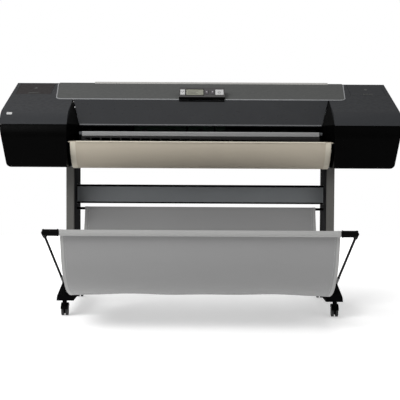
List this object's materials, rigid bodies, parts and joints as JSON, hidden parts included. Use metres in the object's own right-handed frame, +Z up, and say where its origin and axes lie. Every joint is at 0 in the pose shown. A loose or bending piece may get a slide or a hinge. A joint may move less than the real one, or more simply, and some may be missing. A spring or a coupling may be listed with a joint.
{
  "type": "large format plotter",
  "caption": "Wide roll-fed inkjet plotter on a wheeled stand, with a hinged window, a carriage on a rail, a front panel over the roll bay and a cloth catch basket.",
  "frame": {"origin": "on the floor, under the middle of the whole object's width and depth", "axes": "+X along the printer towards its right end as seen by a user in front, -Y towards the user, +Z up"},
  "size_m": [1.77, 1.258, 1.0474],
  "materials": {
    "leg_grey": "satin powder coat",
    "satin_black": "satin",
    "steel": "zinc plated",
    "basket_cloth": "woven nylon",
    "deck_grey": "fine moulded grain",
    "charcoal_plastic": "fine moulded grain",
    "gloss_black": "glossy",
    "smoked_window": "smoked, nearly opaque",
    "warm_grey_panel": "satin",
    "dark_plastic": "matte",
    "roller_rubber": "ground rubber",
    "silver_rail": "anodised",
    "dark_metal": "satin",
    "hub_blue": "satin",
    "cartridge_plastic": "satin",
    "circuit_green": "satin",
    "display_glass": "glossy",
    "key_light": "satin",
    "key_dark": "satin",
    "wheel_rubber": "matte"
  },
  "bodies": {
    "frame": {"left_leg": "leg_grey", "right_leg": "leg_grey", "leg_covers": "satin_black", "cross_brace": "leg_grey", "feet": "satin_black", "caster_stems": "steel", "basket_rear_bar": "satin_black", "basket_fabric": "basket_cloth", "top_cover": "deck_grey", "left_end_cover": "charcoal_plastic", "right_end_cover": "charcoal_plastic", "left_front_cover": "gloss_black", "right_front_cover": "gloss_black", "rear_cover": "charcoal_plastic", "cover_screws": "steel", "window_cheeks": "gloss_black", "platen": "dark_plastic", "pinch_arms": "dark_plastic", "output_rail": "silver_rail", "output_guide": "dark_plastic", "spindle_cradles": "dark_plastic", "carriage_rail": "steel", "side_plates": "steel", "chassis_tray": "steel", "carriage_belt": "roller_rubber", "drive_motors": "dark_metal", "service_station": "dark_plastic", "ink_stations": "dark_plastic", "ink_cartridges": "cartridge_plastic", "main_board": "circuit_green", "power_inlet": "dark_plastic", "control_panel": "charcoal_plastic", "display_screen": "display_glass"},
    "window": {"window": "smoked_window"},
    "left_ink_door": {"left_ink_door": "charcoal_plastic"},
    "right_ink_door": {"right_ink_door": "charcoal_plastic"},
    "roll_cover": {"roll_cover": "warm_grey_panel"},
    "basket": {"basket_front_bar": "satin_black", "basket_arms": "satin_black"},
    "carriage": {"carriage": "dark_plastic", "print_heads": "hub_blue"},
    "drive_pulley": {"drive_pulley": "steel"},
    "idler_pulley": {"idler_pulley": "steel"},
    "feed_roller": {"feed_roller": "roller_rubber"},
    "pinch_wheels": {"pinch_wheels": "roller_rubber"},
    "spindle": {"spindle_shaft": "dark_metal", "spindle_hubs": "hub_blue"},
    "power_switch": {"power_switch": "dark_plastic"},
    "front_left_fork": {"front_left_caster_fork": "dark_plastic"},
    "front_left_wheel": {"front_left_caster_wheel": "wheel_rubber"},
    "front_right_fork": {"front_right_caster_fork": "dark_plastic"},
    "front_right_wheel": {"front_right_caster_wheel": "wheel_rubber"},
    "rear_left_fork": {"rear_left_caster_fork": "dark_plastic"},
    "rear_left_wheel": {"rear_left_caster_wheel": "wheel_rubber"},
    "rear_right_fork": {"rear_right_caster_fork": "dark_plastic"},
    "rear_right_wheel": {"rear_right_caster_wheel": "wheel_rubber"},
    "select_button": {"select_button": "key_light"},
    "menu_button": {"menu_button": "key_dark"},
    "cancel_button": {"cancel_button": "key_dark"},
    "power_button": {"power_button": "key_light"}
  },
  "joints": [
    {"name": "window_hinge", "type": "hinge", "parent": "frame", "child": "window", "pos_m": [0, 0.2715, 0.9495], "axis": [-1, 0, 0], "range_deg": [0, 75]},
    {"name": "left_ink_door_hinge", "type": "hinge", "parent": "frame", "child": "left_ink_door", "pos_m": [-0.784, 0.5276, 1.03771], "axis": [-1, 0, 0], "range_deg": [0, 80]},
    {"name": "right_ink_door_hinge", "type": "hinge", "parent": "frame", "child": "right_ink_door", "pos_m": [0.784, 0.5276, 1.03771], "axis": [-1, 0, 0], "range_deg": [0, 80]},
    {"name": "roll_cover_hinge", "type": "hinge", "parent": "frame", "child": "roll_cover", "pos_m": [0, 0.048, 0.759], "axis": [-1, 0, 0], "range_deg": [0, 95]},
    {"name": "basket_hinge", "type": "hinge", "parent": "frame", "child": "basket", "pos_m": [0, -0.006, 0.145], "axis": [-1, 0, 0], "range_deg": [0, 45]},
    {"name": "carriage_slide", "type": "slide", "parent": "frame", "child": "carriage", "axis": [1, 0, 0], "range_m": [-1.25, 0]},
    {"name": "drive_pulley_spin", "type": "hinge", "parent": "frame", "child": "drive_pulley", "pos_m": [-0.77, 0.369, 0.932], "axis": [0, 0, 1], "continuous": true},
    {"name": "idler_pulley_spin", "type": "hinge", "parent": "frame", "child": "idler_pulley", "pos_m": [0.77, 0.369, 0.932], "axis": [0, 0, 1], "continuous": true},
    {"name": "feed_roller_spin", "type": "hinge", "parent": "frame", "child": "feed_roller", "pos_m": [0, 0.314, 0.7849], "axis": [1, 0, 0], "continuous": true},
    {"name": "pinch_wheel_spin", "type": "hinge", "parent": "frame", "child": "pinch_wheels", "pos_m": [0, 0.314, 0.8133], "axis": [1, 0, 0], "continuous": true},
    {"name": "spindle_spin", "type": "hinge", "parent": "frame", "child": "spindle", "pos_m": [0, 0.149, 0.724], "axis": [1, 0, 0], "continuous": true},
    {"name": "front_left_caster_swivel", "type": "hinge", "parent": "frame", "child": "front_left_fork", "pos_m": [-0.59, -0.016, 0.06], "axis": [0, 0, 1], "continuous": true},
    {"name": "front_left_wheel_spin", "type": "hinge", "parent": "front_left_fork", "child": "front_left_wheel", "pos_m": [-0.59, -0.002, 0.025], "axis": [1, 0, 0], "continuous": true},
    {"name": "front_right_caster_swivel", "type": "hinge", "parent": "frame", "child": "front_right_fork", "pos_m": [0.59, -0.016, 0.06], "axis": [0, 0, 1], "continuous": true},
    {"name": "front_right_wheel_spin", "type": "hinge", "parent": "front_right_fork", "child": "front_right_wheel", "pos_m": [0.59, -0.002, 0.025], "axis": [1, 0, 0], "continuous": true},
    {"name": "rear_left_caster_swivel", "type": "hinge", "parent": "frame", "child": "rear_left_fork", "pos_m": [-0.59, 0.584, 0.06], "axis": [0, 0, 1], "continuous": true},
    {"name": "rear_left_wheel_spin", "type": "hinge", "parent": "rear_left_fork", "child": "rear_left_wheel", "pos_m": [-0.59, 0.598, 0.025], "axis": [1, 0, 0], "continuous": true},
    {"name": "rear_right_caster_swivel", "type": "hinge", "parent": "frame", "child": "rear_right_fork", "pos_m": [0.59, 0.584, 0.06], "axis": [0, 0, 1], "continuous": true},
    {"name": "rear_right_wheel_spin", "type": "hinge", "parent": "rear_right_fork", "child": "rear_right_wheel", "pos_m": [0.59, 0.598, 0.025], "axis": [1, 0, 0], "continuous": true},
    {"name": "select_button_press", "type": "slide", "parent": "frame", "child": "select_button", "axis": [0, 0.5882, -0.8087], "range_m": [0, 0.0012], "stiffness_N_per_m": 300},
    {"name": "menu_button_press", "type": "slide", "parent": "frame", "child": "menu_button", "axis": [0, 0.5882, -0.8087], "range_m": [0, 0.0012], "stiffness_N_per_m": 300},
    {"name": "cancel_button_press", "type": "slide", "parent": "frame", "child": "cancel_button", "axis": [0, 0.5882, -0.8087], "range_m": [0, 0.0012], "stiffness_N_per_m": 300},
    {"name": "power_button_press", "type": "slide", "parent": "frame", "child": "power_button", "axis": [0, 0.5882, -0.8087], "range_m": [0, 0.0012], "stiffness_N_per_m": 300},
    {"name": "power_switch_rock", "type": "hinge", "parent": "frame", "child": "power_switch", "pos_m": [0.571, 0.55, 0.703], "axis": [1, 0, 0], "range_deg": [0, 12]}
  ],
  "couplings": [
    {"joint": "drive_pulley_spin", "follows": "carriage_slide", "rad_per_m": 62.5},
    {"joint": "idler_pulley_spin", "follows": "carriage_slide", "rad_per_m": 62.5},
    {"joint": "pinch_wheel_spin", "follows": "feed_roller_spin", "ratio": -2.5}
  ]
}
